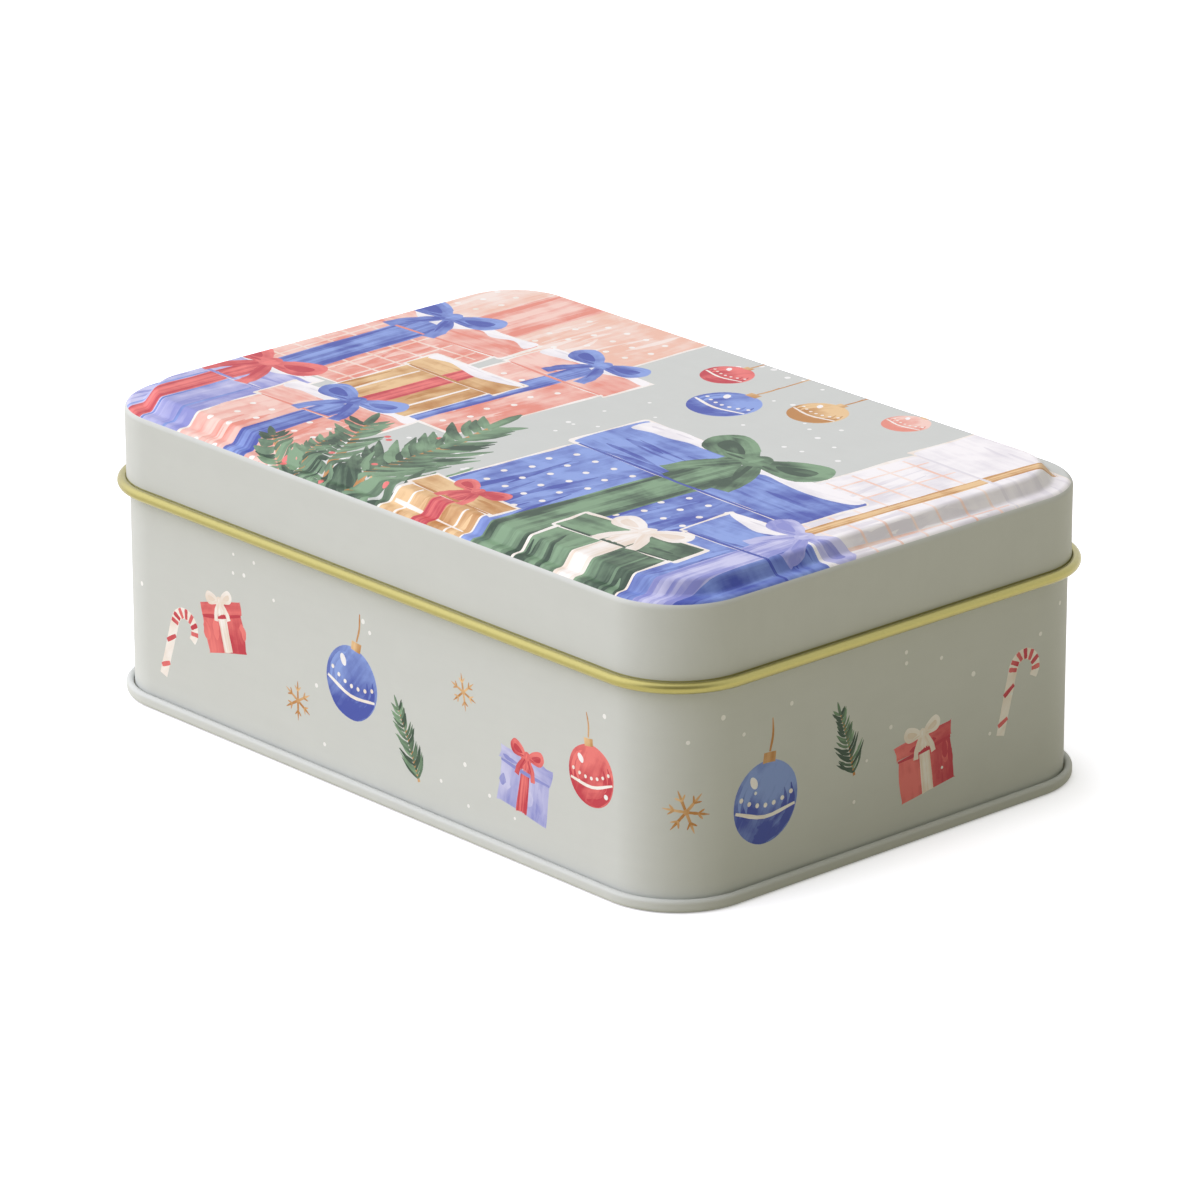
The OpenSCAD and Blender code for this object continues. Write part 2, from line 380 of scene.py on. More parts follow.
class Canvas:
    def __init__(self, seed):
        self.shapes = []
        self.dice = random.Random(seed).uniform

    def at(self, x, y, turn=0.0):
        """Sets the place and the turn in degrees for what is drawn next."""
        self.place = np.array([x, y]), radians(turn)

    def fill(self, points, paint, lift=0.0, brush=0.0, fade=0.0, across=None):
        """Adds a closed shape. Lift lightens it, brush turns its marks, and fade lightens it to one side."""
        middle, turn = self.place
        points = middle + np.asarray(points, float) @ turning(turn)
        x, y = points.T
        area = np.dot(x, np.roll(y, -1)) - np.dot(y, np.roll(x, -1))
        a = radians(brush if across is None else across) + turn
        way = np.array([cos(a), sin(a)])
        reach = points @ way
        slope = fade / max((reach.max() - reach.min()) / 2, 1e-6)
        soak = (way * slope, lift - slope * (reach.max() + reach.min()) / 2)
        self.shapes.append((points if area > 0 else points[::-1], paint, radians(brush) + turn, soak))

    def block(self, low, high, paint, lift=0.0, brush=0.0, fade=0.0, across=None, wobble=0.18, every=4.0):
        """A box with wavering sides."""
        corners = [low, (high[0], low[1]), high, (low[0], high[1])]
        points = []
        for a, b in zip(corners, corners[1:] + corners[:1]):
            count = max(2, round(dist(a, b) / every))
            for share in [0.03] + [k / count for k in range(1, count)] + [0.97]:
                points.append([a[i] + (b[i] - a[i]) * share + self.dice(-wobble, wobble) for i in (0, 1)])
        self.fill(smooth(points, True, 2), paint, lift, brush, fade, across)

    def blob(self, x, y, wide, tall, paint, lift=0.0, turn=0.0, fade=0.0, across=None, wobble=0.05, count=10):
        """A rounded shape, given by its half sizes."""
        a = np.linspace(0, 2 * pi, count, endpoint=False)
        r = np.array([self.dice(1 - wobble, 1 + wobble) for _ in a])
        p = np.column_stack([wide * r * np.cos(a), tall * r * np.sin(a)]) @ turning(radians(turn))
        self.fill(smooth(p + [x, y], True, 3), paint, lift, turn, fade, across)

    def stroke(self, path, width, paint, lift=0.0, start=0.35, end=0.1, rough=0.12, steps=4):
        """A brush stroke, which swells and then tapers."""
        line = smooth(path, steps=steps)
        ahead = np.gradient(line, axis=0)
        ahead /= np.linalg.norm(ahead, axis=1)[:, None]
        swell = np.interp(np.linspace(0, 1, len(line)), [0, 0.2, 0.7, 1], [start, 1, 0.9, end])
        half = width / 2 * swell * np.array([self.dice(1 - rough, 1 + rough) for _ in line])
        edge = np.column_stack([-ahead[:, 1], ahead[:, 0]]) * half[:, None]
        along = line[-1] - line[0]
        self.fill(np.vstack([line + edge, (line - edge)[::-1]]), paint, lift, degrees(atan2(along[1], along[0])))

    def dabs(self, low, high, paint, lift, count, length, width, turn=0.0, spread=10.0):
        """Loose brush marks, scattered in a box."""
        for _ in range(count):
            a = radians(turn + self.dice(-spread, spread))
            size = length * self.dice(0.6, 1.3)
            dx, dy = cos(a) * size / 2, sin(a) * size / 2
            x, y = (self.dice(low[i] + abs(d), max(high[i] - abs(d), low[i] + abs(d) + 0.1))
                    for i, d in enumerate((dx, dy)))
            bend = self.dice(-0.05, 0.05) * size
            self.stroke([(x - dx, y - dy), (x + bend, y + bend), (x + dx, y + dy)],
                    width * self.dice(0.6, 1.3), paint, lift, 0.2, 0.15, 0.2)


# %% [markdown]
# ## Pressing the picture into the sheet
#
# The sheet's mesh takes its edges from the bends and from the outlines of the paint, so each colour has a crisp
# border that follows the metal. A triangle takes the paint of the last shape that winds round its middle.

# %% Mesh of a printed sheet
MERGE = 1e-4


def winding(points, line):
    """How often a closed line winds round each point."""
    (x0, y0), (x1, y1) = line.T[:, None], np.roll(line, -1, axis=0).T[:, None]
    x, y = points[:, :1], points[:, 1:]
    left = (x1 - x0) * (y - y0) - (x - x0) * (y1 - y0)
    up, down = (y0 <= y) & (y1 > y) & (left > 0), (y0 > y) & (y1 <= y) & (left < 0)
    return up.sum(axis=1) - down.sum(axis=1)


def lay_out(lines, shapes=()):
    """Triangles over lines and shapes, and the top shape of each triangle."""
    corners, edges = [], []
    inputs = sum(len(line) for line, closed in lines)
    for line, closed in lines + [(shape[0], True) for shape in shapes]:
        first, count = len(corners), len(line)
        corners += [Vector(p) for p in line]
        edges += [(first + i, first + (i + 1) % count) for i in range(count if closed else count - 1)]
    found = geometry.delaunay_2d_cdt(corners, edges, [], 0, MERGE, True)
    points, triangles = np.array([tuple(p) for p in found[0]]), np.array(found[2])
    place = {old: new for new, olds in enumerate(found[3]) for old in olds if old < inputs}
    triangles = triangles[np.argsort(points[triangles, 0].mean(axis=1))]
    middles = points[triangles].mean(axis=1)
    top = np.full(len(triangles), -1)
    for number, shape in enumerate(shapes):
        low, high = shape[0].min(axis=0), shape[0].max(axis=0)
        first, last = np.searchsorted(middles[:, 0], [low[0], high[0]])
        inside = (middles[first:last, 1] >= low[1]) & (middles[first:last, 1] <= high[1])
        near = first + np.flatnonzero(inside)
        top[near[winding(middles[near], shape[0]) != 0]] = number
    return points, triangles, top, place


def sheet_mesh(name, printed, plain, rims):
    """Mesh of a sheet's two sides, as points, facings and triangles, joined along rims of point pairs."""
    offset = len(printed[0])
    triangles = [tuple(t) for t in printed[2]] + [tuple(offset + t[::-1]) for t in plain[2]]
    rim_faces = [(b[0], a[0], offset + a[1], offset + b[1]) for rim in rims for a, b in zip(rim, rim[1:])]
    mesh = bpy.data.meshes.new(name)
    mesh.from_pydata((np.vstack([printed[0], plain[0]]) * MM).tolist(), [], triangles + rim_faces)
    mesh.polygons.foreach_set("material_index", [0] * len(printed[2]) + [1] * (len(plain[2]) + len(rim_faces)))
    mesh.shade_smooth()
    normals = np.vstack([printed[1], -plain[1]])[[loop.vertex_index for loop in mesh.loops]]
    for polygon in mesh.polygons[len(triangles):]:
        normals[polygon.loop_indices] = polygon.normal
    mesh.normals_split_custom_set(normals.tolist())
    return mesh


# %% [markdown]
# ## Paints
#
# A paint is a pair of tones: the full coat, and the thin wash that the brush leaves where it dries out.

# %% Paints
def tones(first, second):
    return linear(first), linear(second)


PAINTS = {
    "sage": tones("#CFD3CF", "#CDD1CD"),
    # Olive margin: the gold lacquer's lap onto the skirt, darkened as painted shade of the crevice above the
    # rolled edge.
    "margin": tones("#ADAB76", "#A6A46E"),
    "dot": tones("#F3F4F2", "#F7F8F6"),
    "salmon": tones("#E88D7C", "#F8D2C6"),
    "peach": tones("#F0C0AB", "#F9E9E0"),
    "cobalt": tones("#3B4EAC", "#8AA4E4"),
    "lilac": tones("#8A8FD2", "#CDCEF0"),
    "fir": tones("#2B4835", "#7FA27F"),
    "cream": tones("#ECDDCD", "#FBF7F2"),
    "snow": tones("#E4E1E7", "#FCFAFB"),
    "ochre": tones("#BE8342", "#ECC894"),
    "red": tones("#C42F42", "#F07B77"),
}


def paint_sheet(mesh, points, triangles, top=(), shapes=(), bare=()):
    """Stores paints, brush marks and flat places. A bare paint goes before any shape's."""
    corners = len(mesh.loops)
    coat, wash = (np.tile(tone, (corners, 1)) for tone in PAINTS["sage"])
    marks, flat = np.zeros((corners, 3)), np.zeros((len(mesh.vertices), 3))
    flat[:len(points), :2] = points
    for face, (owner, paint) in enumerate(zip(top, bare)):
        here = slice(3 * face, 3 * face + 3)
        if owner >= 0 and not paint:
            _, paint, brush, (slope, level) = shapes[owner]
            marks[here, 0] = brush
            marks[here, 1] = points[triangles[face]] @ slope + level
        coat[here], wash[here] = PAINTS[paint or "sage"]
    for name, values in (("coat", coat), ("wash", wash)):
        mesh.attributes.new(name, "FLOAT_COLOR", "CORNER").data.foreach_set("color", values.ravel())
    for name, values, domain in (("marks", marks, "CORNER"), ("flat_place", flat, "POINT")):
        mesh.attributes.new(name, "FLOAT_VECTOR", domain).data.foreach_set("vector", values.ravel())


# %% [markdown]
# ## Printed tinplate
#
# Offset-printed tinplate under a satin varnish with a faint roll to it. The ink is opaque, so no metal shows. The
# brush marks are long noise along each shape's own direction, which mixes the coat with its wash.

# %% Printed tinplate
BRUSH_LENGTH = 12.0
BRUSH_WIDTH = 1.3
POOL = 5.5
VARNISH_ROLL = 1.1


def printed_tinplate():
    material, n, shader = new_material("printed_tinplate_satin")
    coat, wash = (n.add("Attribute", attribute_name=name) for name in ("coat", "wash"))
    flat, marks = (n.add("Attribute", out="Vector", attribute_name=name) for name in ("flat_place", "marks"))
    brush, lift = n.add("SeparateXYZ", {"Vector": marks}).node.outputs[:2]
    turned = n.add("VectorRotate", {"Vector": flat, "Angle": brush}, rotation_type="Z_AXIS",
            invert=True)
    stretched = n.add("Mapping", {"Vector": turned, "Scale": (1 / BRUSH_LENGTH, 1 / BRUSH_WIDTH, 1)})
    bristles = n.noise(1, 4, stretched, Roughness=0.6, Distortion=0.4)
    pools = n.noise(POOL, 4, flat, Roughness=0.55, Distortion=0.3)
    dry, soak = n.span(bristles, 0.22, 0.78, 0.32, 0.68), n.span(pools, -0.45, 0.45, 0.34, 0.66)
    mixed = n.math("ADD", n.math("ADD", dry, soak), lift)
    roll = n.noise(VARNISH_ROLL * MM, 2)
    n.fill(shader, {"Base Color": n.blend(mixed, (coat, wash), clamp_factor=True),
            "Roughness": n.span(roll, 0.40, 0.48), "Normal": n.bump(roll, 0.04, 0.02),
            "IOR": 1.5})
    return material


# %% [markdown]
# ## Grained finishes and gold lacquer
#
# The other finishes are two close tones with a fine grain. Inside, clear yellow lacquer is baked onto bright
# tinplate, so it reflects like metal with a greenish gold tint. The lid's rolled edge turns it outside.

# %% Grained finishes
def grained(name, pair, grain, rough, relief=None, detail=3, stretch=None, **inputs):
    """A finish with a grain between two tones. Rough is a value or a range, relief a bump's strength and depth."""
    material, n, shader = new_material(name)
    vector = stretch and n.add("Mapping", {"Vector": n.place(), "Scale": stretch})
    fleck = n.noise(grain * MM, detail, vector)
    n.fill(shader, {"Base Color": n.blend(fleck, pair),
            "Roughness": n.span(fleck, *rough) if isinstance(rough, tuple) else rough,
            **({"Normal": n.bump(fleck, *relief)} if relief else {}), **inputs})
    return material


printed = printed_tinplate()
gold = grained("gold_lacquered_tinplate", tones("#BEB56B", "#B4AB5F"), 0.35, (0.30, 0.38),
        **{"Metallic": 1.0, "Coat Weight": 1.0, "Coat Roughness": 0.22})

# %% [markdown]
# ## Motifs of a gift tin
#
# The print is a generic winter gift picture. Each motif is a function that draws round its own middle, from the
# largest coat of paint to the last highlight.

# %% Motifs
def arc_path(radius, start, end, steps):
    return radius * around(np.radians(np.linspace(start, end, steps)))


def bow(c, size, paint):
    def side(*points):
        return [(x * s * size, y * size) for x, y in points]

    for s in (-1, 1):
        tail = side((0.5, -0.7), (0.62, -1.2), (0.46, -0.85))
        c.stroke([(0.1 * s, -0.1), *tail[:2]], 0.36 * size, paint, -0.1, 0.5, 0.9)
        c.stroke([(0.16 * s, -0.1), tail[2]], 0.1 * size, paint, -0.6)
    for s in (-1, 1):
        loop = side((0, 0), (0.45, 0.5), (1.0, 0.68), (1.28, 0.3), (1.05, -0.12), (0.5, -0.16))
        hole = side((0.35, 0.12), (0.72, 0.36), (1.0, 0.38), (0.98, 0.12), (0.66, 0.02))
        c.fill(smooth(loop, True), paint, 0.1, 30 * s, 0.35, 60)
        c.fill(smooth(hole, True, 3), paint, -0.65, 30 * s)
        c.stroke(side((0.3, 0.38), (0.8, 0.6), (1.12, 0.5)), 0.1 * size, paint, 0.55)
        c.stroke(side((0.2, -0.02), (0.6, -0.04)), 0.07 * size, paint, -0.5)
    c.blob(0, 0.06 * size, 0.22 * size, 0.26 * size, paint, 0.1)
    c.stroke([(-0.05 * size, -0.08 * size), (0, 0.2 * size)], 0.1 * size, paint, 0.6)


def tie(c, tall, size, paint):
    """Puts a bow on a parcel."""
    middle, turn = c.place
    c.place = middle + np.array([-sin(turn), cos(turn)]) * tall, turn
    bow(c, size, paint)


def ribbon(c, x, low, high, paint):
    """An upright ribbon of half width x."""
    c.block((-x, low), (x, high), paint, 0, 90, 0.15)
    for share, lift, width in ((0.1, -0.5, 0.14), (0.88, -0.45, 0.18), (0.36, 0.4, 0.2), (0.62, 0.3, 0.1)):
        at = -x + (x + x) * share
        middle = [at + c.dice(-0.12, 0.12), (low + high) / 2 + c.dice(-0.12, 0.12)]
        c.stroke([(at, low), middle, (at, high)], width * (x + x), paint, lift, 0.6, 0.5)


def dotted(c, low, high, paint, step=3.4, size=0.42):
    for i in range(int((high[0] - low[0]) / step)):
        for j in range(int((high[1] - low[1]) / step)):
            x, y = low[0] + (i + 0.45 + 0.3 * (j % 2)) * step, low[1] + (j + 0.5) * step
            c.blob(x, y, size, size, paint, 0.4, count=6)


def striped(c, low, high, paint, width=0.5, axis=0, step=4.2):
    """Even strokes over a box, side by side along an axis."""
    across = 1 - axis
    count = max(1, round((high[axis] - low[axis]) / step))
    for i in range(count):
        at = low[axis] + (i + 0.5) * (high[axis] - low[axis]) / count
        middle = (at + c.dice(-0.2, 0.2), (low[across] + high[across]) / 2)
        path = [(at, low[across]), middle, (at, high[across])]
        c.stroke([p[::-1] for p in path] if axis else path, width, paint, 0.2, 0.8, 0.7)


def checked(c, low, high, paint):
    for axis in (0, 1):
        striped(c, low, high, paint, 0.42, axis)


def parcel(c, wide, tall, paper, band, pattern=None, trim="cream", lid=0.24, rim=0.45, share=0.1):
    """A wrapped box with a lid and a ribbon, on its own bottom edge."""
    x, edge = wide / 2, tall * (1 - lid)
    over = 0.03 * wide + rim / 2
    marks = max(3, int(wide * tall / 70))
    if rim:
        c.block((-x - rim, -rim), (x + rim, edge), "cream", 0.3)
    c.block((-x, 0), (x, edge), paper, 0, 88, 0.35, 180)
    c.dabs((-x, 0), (x, edge), paper, 0.4, marks, 0.4 * tall, 1.1, 88)
    c.dabs((-x, 0), (x, edge), paper, -0.4, marks, 0.35 * tall, 0.9, 92)
    if pattern:
        pattern(c, (-x + 0.5, 0.5), (x - 0.5, edge - 0.8), trim)
    ribbon(c, share * wide, 0, edge, band)
    if rim:
        c.block((-x - over - rim, edge - rim), (x + over + rim, tall + rim), "cream", 0.3)
    c.block((-x - over, edge), (x + over, tall), paper, 0.12, 0, 0.3, 180)
    c.dabs((-x, edge), (x, tall), paper, -0.35, marks // 2 + 1, 0.3 * wide, 0.7, 0, 5)
    c.stroke([(-x, edge - 0.1), (0, edge - 0.25), (x, edge - 0.1)], 0.5, paper, -0.7, 0.6, 0.6)
    ribbon(c, share * wide, edge, tall, band)


def gift(c, size, paper, band):
    parcel(c, size, size * 0.85, paper, band, lid=0.26, rim=0)
    tie(c, size * 0.85, size * 0.27, band)


def bauble(c, r, paint):
    c.stroke([(0, 1.2 * r), (0.05 * r, 1.6 * r), (0, 2.0 * r)], 0.07 * r, "ochre", -0.4, 0.8, 0.5)
    c.blob(0, 0, r, r, paint, 0, 60, 0.55, 60, 0.015, 14)
    for k, lift, width, *sweep in ((0.84, -0.7, 0.26, -110, 25, 6), (0.62, -0.4, 0.2, -110, 25, 6),
            (0.82, 0.5, 0.14, 115, 200, 5), (0.62, 0.6, 0.2, 115, 200, 5)):
        c.stroke(arc_path(k * r, *sweep), width * r, paint, lift, 0.2, 0.1)
    c.stroke([(-0.93 * r, -0.16 * r), (0, -0.36 * r), (0.93 * r, -0.16 * r)], 0.1 * r, "cream", 0.3, 0.7, 0.7)
    for k in range(-3, 4):
        c.blob(0.26 * k * r, (0.024 * k * k - 0.08) * r, 0.06 * r, 0.06 * r, "cream", 0.3, count=6)
    c.block((-0.19 * r, 0.93 * r), (0.19 * r, 1.18 * r), "ochre", 0, 90, 0.3, 180, 0.01 * r)
    c.blob(-0.42 * r, 0.5 * r, 0.1 * r, 0.17 * r, "snow", 0.5, 35)


def sprig(c, length, needles=17, berries=0):
    """A fir sprig that points up."""
    c.stroke([(0, 0), (0.03 * length, 0.5 * length), (0, length)], 0.045 * length, "ochre", -0.5, 1, 0.3)
    for k in range(needles):
        up = (0.05 + 0.93 * k / needles) * length
        for s in (-1, 1):
            reach = length * (0.34 - 0.2 * k / needles) * c.dice(0.8, 1.15)
            a = radians(90 - s * c.dice(32, 52))
            tip = (reach * cos(a), up + reach * sin(a))
            c.stroke([(0, up), (tip[0] * 0.55, up + (tip[1] - up) * 0.4), tip], 0.042 * length, "fir",
                    c.dice(-0.5, 0.45), 0.7, 0.15, steps=3)
    c.stroke([(0, 0.93 * length), (0, 1.12 * length)], 0.05 * length, "fir", 0.1, 0.8, 0.2)
    for _ in range(berries):
        c.blob(c.dice(-0.22, 0.22) * length, c.dice(0.15, 0.8) * length, 0.42, 0.42, "red", 0.2, count=6)


def cane(c, tall, stripes=9):
    """A striped sugar cane, hook to the right."""
    r = 0.19 * tall
    hook = arc_path(r, 180, -25, 9) + [r, tall / 2 - r]
    path = np.vstack([[(0, -tall / 2), (0, -tall / 6), (0, tall / 2 - 1.4 * r)], hook])
    c.stroke(path, 0.15 * tall, "cream", 0.3, 0.9, 0.8, 0.03)
    line = smooth(path, steps=6)
    for k in range(stripes):
        i = int((k + 0.3) * (len(line) - 5) / stripes)
        ahead = (line[i + 3] - line[i]) / np.linalg.norm(line[i + 3] - line[i])
        side = np.array([-ahead[1], ahead[0]]) * 0.066 * tall
        c.stroke([line[i] + side, (line[i] + line[i + 2]) / 2, line[i + 2] - side], 0.06 * tall, "red",
                -0.3 if k % 2 else 0.2, 0.9, 0.8, steps=2)


def flake(c, r):
    """A six-fold snowflake."""
    for k in range(6):
        way, side = turning(radians(60 * k + 30))
        tone = -0.5 if k % 2 else 0.0
        c.stroke([way * 0, way * r * 0.5, way * r], 0.13 * r, "ochre", tone, 0.9, 0.2)
        for s in (-1, 1):
            c.stroke([way * 0.5 * r, (way * 0.74 + s * side * 0.22) * r], 0.1 * r, "ochre", -tone - 0.4, 0.8, 0.3)
    c.blob(0, 0, 0.13 * r, 0.13 * r, "ochre")


def snow_cap(c, left, right, y, deep):
    """Snow on an edge."""
    count = max(4, int((right - left) / 2.6))
    xs = np.linspace(left, right, count)
    under = [(x, y - c.dice(0.15, 1.0) * deep) for x in xs[::-1]]
    over = [(x, y + c.dice(0.1, 0.35) * deep) for x in xs]
    c.fill(smooth(over + under, True), "snow", 0.25, 10, 0.4, 90)
    c.dabs((left, y - 0.3 * deep), (right, y + 0.1 * deep), "snow", -0.45, count // 2, 3.2, 0.14 * deep, 0, 6)


def snow_dots(c, low, high, count, small=0.22, large=0.42):
    c.at(0, 0)
    for _ in range(count):
        c.blob(c.dice(low[0], high[0]), c.dice(low[1], high[1]), *[c.dice(small, large)] * 2, "dot", count=7)


# %% [markdown]
# ## The pictures
#
# The lid's picture runs over the step: salmon and blue parcels on the left, a large cobalt one on the right with a
# white one behind it, and baubles and fir in between. The wall has small single motifs. Each table is in the
# order of painting.

# %% Pictures
# Baubles: x, y, radius, paint and the length of the thread.
BAUBLES = (
    (-3, 25, 3.4, "red", 14), (5, 17, 4.6, "cobalt", 20), (15, 23, 3.8, "ochre", 14),
    (25, 28, 3.0, "salmon", 10))
# Parcels: x and y of the bottom edge, turn, width, height, paper, band, pattern and its paint, bow and snow.
BACK_PARCELS = (
    (-36, 11, 1, 46, 27, "peach", "salmon", dotted, "cream", 0, 6),
    (-17, -14, -2, 17, 30, "salmon", "cobalt", dotted, "cream", 5.2, 2.4),
    (-42, -12, 2, 30, 27, "salmon", "cobalt", checked, "peach", 6, 3),
    (-25, -16, -1, 15, 20, "ochre", "red", striped, "cream", 0, 2),
    (-45, -42, -1, 18, 29, "lilac", "red", striped, "cobalt", 6.2, 2),
    (-25, -40, 2, 20, 25, "salmon", "cobalt", dotted, "cream", 5.5, 2.4))
# Sprigs: x, y, turn and length.
SPRIGS = (
    (-7, -39, 30, 24), (-2, -40, 10, 33), (2, -40, -14, 29), (-9, -40, 55, 18), (-5, -41, 2, 24),
    (5, -42, -40, 20), (-12, -41, 20, 16))
FRONT_PARCELS = (
    (45, -13, -2, 24, 44, "snow", "ochre", checked, "peach", 0, 0),
    (21, -42, -2.5, 37, 47, "cobalt", "fir", dotted, "cream", 8, 3),
    (47, -42, 2, 21, 33, "cobalt", "lilac", striped, "cobalt", 5, 2.4),
    (34, -42, 4, 17, 21, "fir", "cream", striped, "fir", 4.6, 0),
    (8, -41, -4, 14, 15, "ochre", "red", checked, "cream", 3.6, 0))
# Motifs on a side: distance from its start, height, turn, size, motif and its paints.
LONG_SIDE = (
    (4, 9.5, -18, 10, cane), (15, 11, 14, 7.4, gift, "red", "cream"), (28, 8.5, 0, 2.5, flake),
    (38, 13.5, -10, 4.6, bauble, "cobalt"), (50, 4.5, 24, 9.5, sprig), (58, 18, 10, 2.3, flake),
    (68, 6, -8, 8.4, gift, "lilac", "red"), (80, 14, 6, 3.8, bauble, "red"))
SHORT_SIDE = (
    (-6, 12, 20, 2.8, flake), (5, 11, -6, 5.0, bauble, "cobalt"), (19, 10.5, 16, 9.0, sprig),
    (31, 5.5, 8, 8.6, gift, "red", "cream"), (44, 14, -14, 10, cane))


def pile(c, parcels):
    for x, y, turn, wide, tall, paper, band, pattern, trim, knot, snow in parcels:
        c.at(x, y, turn)
        parcel(c, wide, tall, paper, band, pattern, trim, share=0.035 if paper == "snow" else 0.1)
        if snow:
            snow_cap(c, -wide / 2 - 0.5, wide / 2 + 0.5, tall - 0.2, snow)
        if knot:
            tie(c, tall, knot, band)


def paint_lid(c):
    snow_dots(c, (-16, -36), (56, 38), 150)
    for x, y, r, paint, drop in BAUBLES:
        c.at(x, y)
        c.stroke([(0, r), (0.2, drop / 2), (0, drop)], 0.3, "ochre", -0.4, 0.9, 0.9)
        bauble(c, r, paint)
    pile(c, BACK_PARCELS)
    for *place, length in SPRIGS:
        c.at(*place)
        sprig(c, length, berries=3)
    pile(c, FRONT_PARCELS)


def paint_wall(c):
    for start, side in ((stations[4], LONG_SIDE), (stations[0] + 1, LONG_SIDE), (stations[6], SHORT_SIDE),
            (stations[2], SHORT_SIDE)):
        for u, z, turn, size, motif, *paints in side:
            c.at(start + u, z, turn)
            motif(c, size, *paints)
    snow_dots(c, (1, 3.5), (strip_length - 1, 24), 70, 0.18, 0.34)


lid_art, wall_art = Canvas(seed=11), Canvas(seed=12)
paint_lid(lid_art)
paint_wall(wall_art)
print(len(lid_art.shapes), "shapes on the lid,", len(wall_art.shapes), "on the wall")

# %% [markdown]
# ## The printed shells
#
# Bends are lines at set lengths of sheet. On the lid they are outlines, and the picture stops halfway round the
# soft edge. The wall's strip has a grid of lines. Where its ends meet at the back, one steps in behind the other
# as a flat lap, and a thin upright line shows.

# %% Lid and wall
PRINT_REACH = 9.5


def add_piece(name, mesh, body, *materials):
    piece = new_object(name, mesh)
    for material in materials:
        mesh.materials.append(material)
    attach(piece, body)
    print(name, len(mesh.polygons), "faces")
    return piece


def press(name, body, lines, shapes, form, rims, bare):
    """Forms a blank into a piece. Its printed side has the lines and the shapes, its plain side only the lines."""
    points, triangles, top, place = lay_out(lines, shapes)
    back_points, back_triangles, _, back_place = lay_out(lines)
    back, facing = form(back_points)
    mesh = sheet_mesh(name, (*form(points), triangles), (back - facing * SHEET, facing, back_triangles),
            [[(place[i], back_place[i]) for i in rim] for rim in rims])
    paint_sheet(mesh, points, triangles, top, shapes, bare(points[triangles].mean(axis=1)))
    return add_piece(name, mesh, body, printed, gold)


def kept_on_blank(points):
    """Pulls in points so that no shape crosses the blank's edge."""
    distance, way = beyond(points)
    return points - way * np.maximum(distance - PRINT_REACH, 0)[:, None]


def bare_lid(middles):
    """Paint without the picture: sage on the skirt, and above the rolled edge an olive lap of gold lacquer,
    darkened as painted shade.
    """
    picture_end = ledge_start + SOFT_EDGE * pi / 4
    shade_band_start = skirt_lengths[-1] - lengths_along(skirt_section[SOFT_STEPS + 1:])[-1]
    away = beyond(middles)[0]
    # Beyond the band's start the skirt is olive, painted shade of the crevice over the gold lacquer's lap.
    return np.where(away > shade_band_start, "margin", np.where(away > picture_end, "sage", ""))


def build_lid(canvas):
    shapes = [(kept_on_blank(shape[0]), *shape[1:]) for shape in canvas.shapes]
    lines = [outline(length) for length in skirt_lengths]
    lines += [outline(step_start + row[0], STEP_CORNER + row[0]) for row in step_section]
    count = len(lines[0])
    rim = [(len(skirt_lengths) - 1) * count + i % count for i in range(count + 1)]
    return press("lid_shell", "lid", [(line, True) for line in lines], shapes, form_lid, [rim], bare_lid)


def build_wall(canvas):
    corners = [np.linspace(stations[leg], stations[leg + 1], CORNER_STEPS + 1) for leg in range(1, 9, 2)]
    columns = np.concatenate([[0.0], *corners, [strip_length]])
    grid = np.array([[(u, v) for u in columns] for v in wall_heights])
    lines = [(line, False) for line in (*grid, *grid.transpose(1, 0, 2))]
    number = np.arange(len(wall_heights) * len(columns)).reshape(grid.shape[:2])
    rims = [number[-1], number[0, ::-1], number[:, 0], number[::-1, -1]]
    return press("wall_shell", "tin", lines, canvas.shapes, form_wall, rims, lambda middles: [""] * len(middles))


lid_shell = build_lid(lid_art)
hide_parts("lid")
wall_shell = build_wall(wall_art)
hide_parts("body_wall")

# %% Lap
def build_lap():
    left, right = -LAP / 2, LAP / 2 + SHEET
    low, high = BOTTOM_TOP + LAYER_GAP, wall_curl_z - TOP_CURL - LAYER_GAP
    points, triangles, _, place = lay_out([([(left, low), (right, low), (right, high), (left, high)], True)])
    triangles = triangles[:, ::-1]
    upright = np.insert(points, 1, HALF_Y - SHEET, axis=1)
    facing = np.tile([0.0, 1.0, 0.0], (len(points), 1))
    rim = [(place[i], place[i]) for i in (3, 2, 1, 0, 3)]
    sides = [(upright - facing * depth, facing, triangles) for depth in (0, SHEET)]
    mesh = sheet_mesh("wall_lap", *sides, [rim])
    paint_sheet(mesh, points, triangles)
    return add_piece("wall_lap", mesh, "tin", printed, gold)


wall_lap = build_lap()
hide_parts("body_wall")

# %% [markdown]
# ## Folded bottom
#
# The bottom is a shallow pan whose edge is folded round the wall's turned foot. What shows is the fold, a smooth
# sage bead: a sweep of the folded section along a rounded rectangle. Geometry Nodes grow it, as they do the
# wicks. A tree with named inputs is run on a starting mesh, and its result is kept as a plain mesh.

# %% Geometry Nodes helpers
def new_tree(name, sizes):
    """A geometry tree's nodes, its named inputs' sockets and their identifiers."""
    tree = bpy.data.node_groups.new(name, "GeometryNodeTree")
    for side in ("INPUT", "OUTPUT"):
        tree.interface.new_socket("Geometry", in_out=side, socket_type="NodeSocketGeometry")
    names = {}
    for label, value in sizes.items():
        kind = "NodeSocketInt" if isinstance(value, int) else "NodeSocketFloat"
        names[label] = tree.interface.new_socket(label, in_out="INPUT", socket_type=kind).identifier
    return Nodes(tree), tree.nodes.new("NodeGroupInput").outputs, names


def finish_tree(n, grown, material):
    """Ends a tree in Realize Instances and Set Material."""
    real = n.add("RealizeInstances", {"Geometry": grown})
    dressed = n.add("SetMaterial", {"Geometry": real, "Material": material})
    n.add("GroupOutput", {"Geometry": dressed})


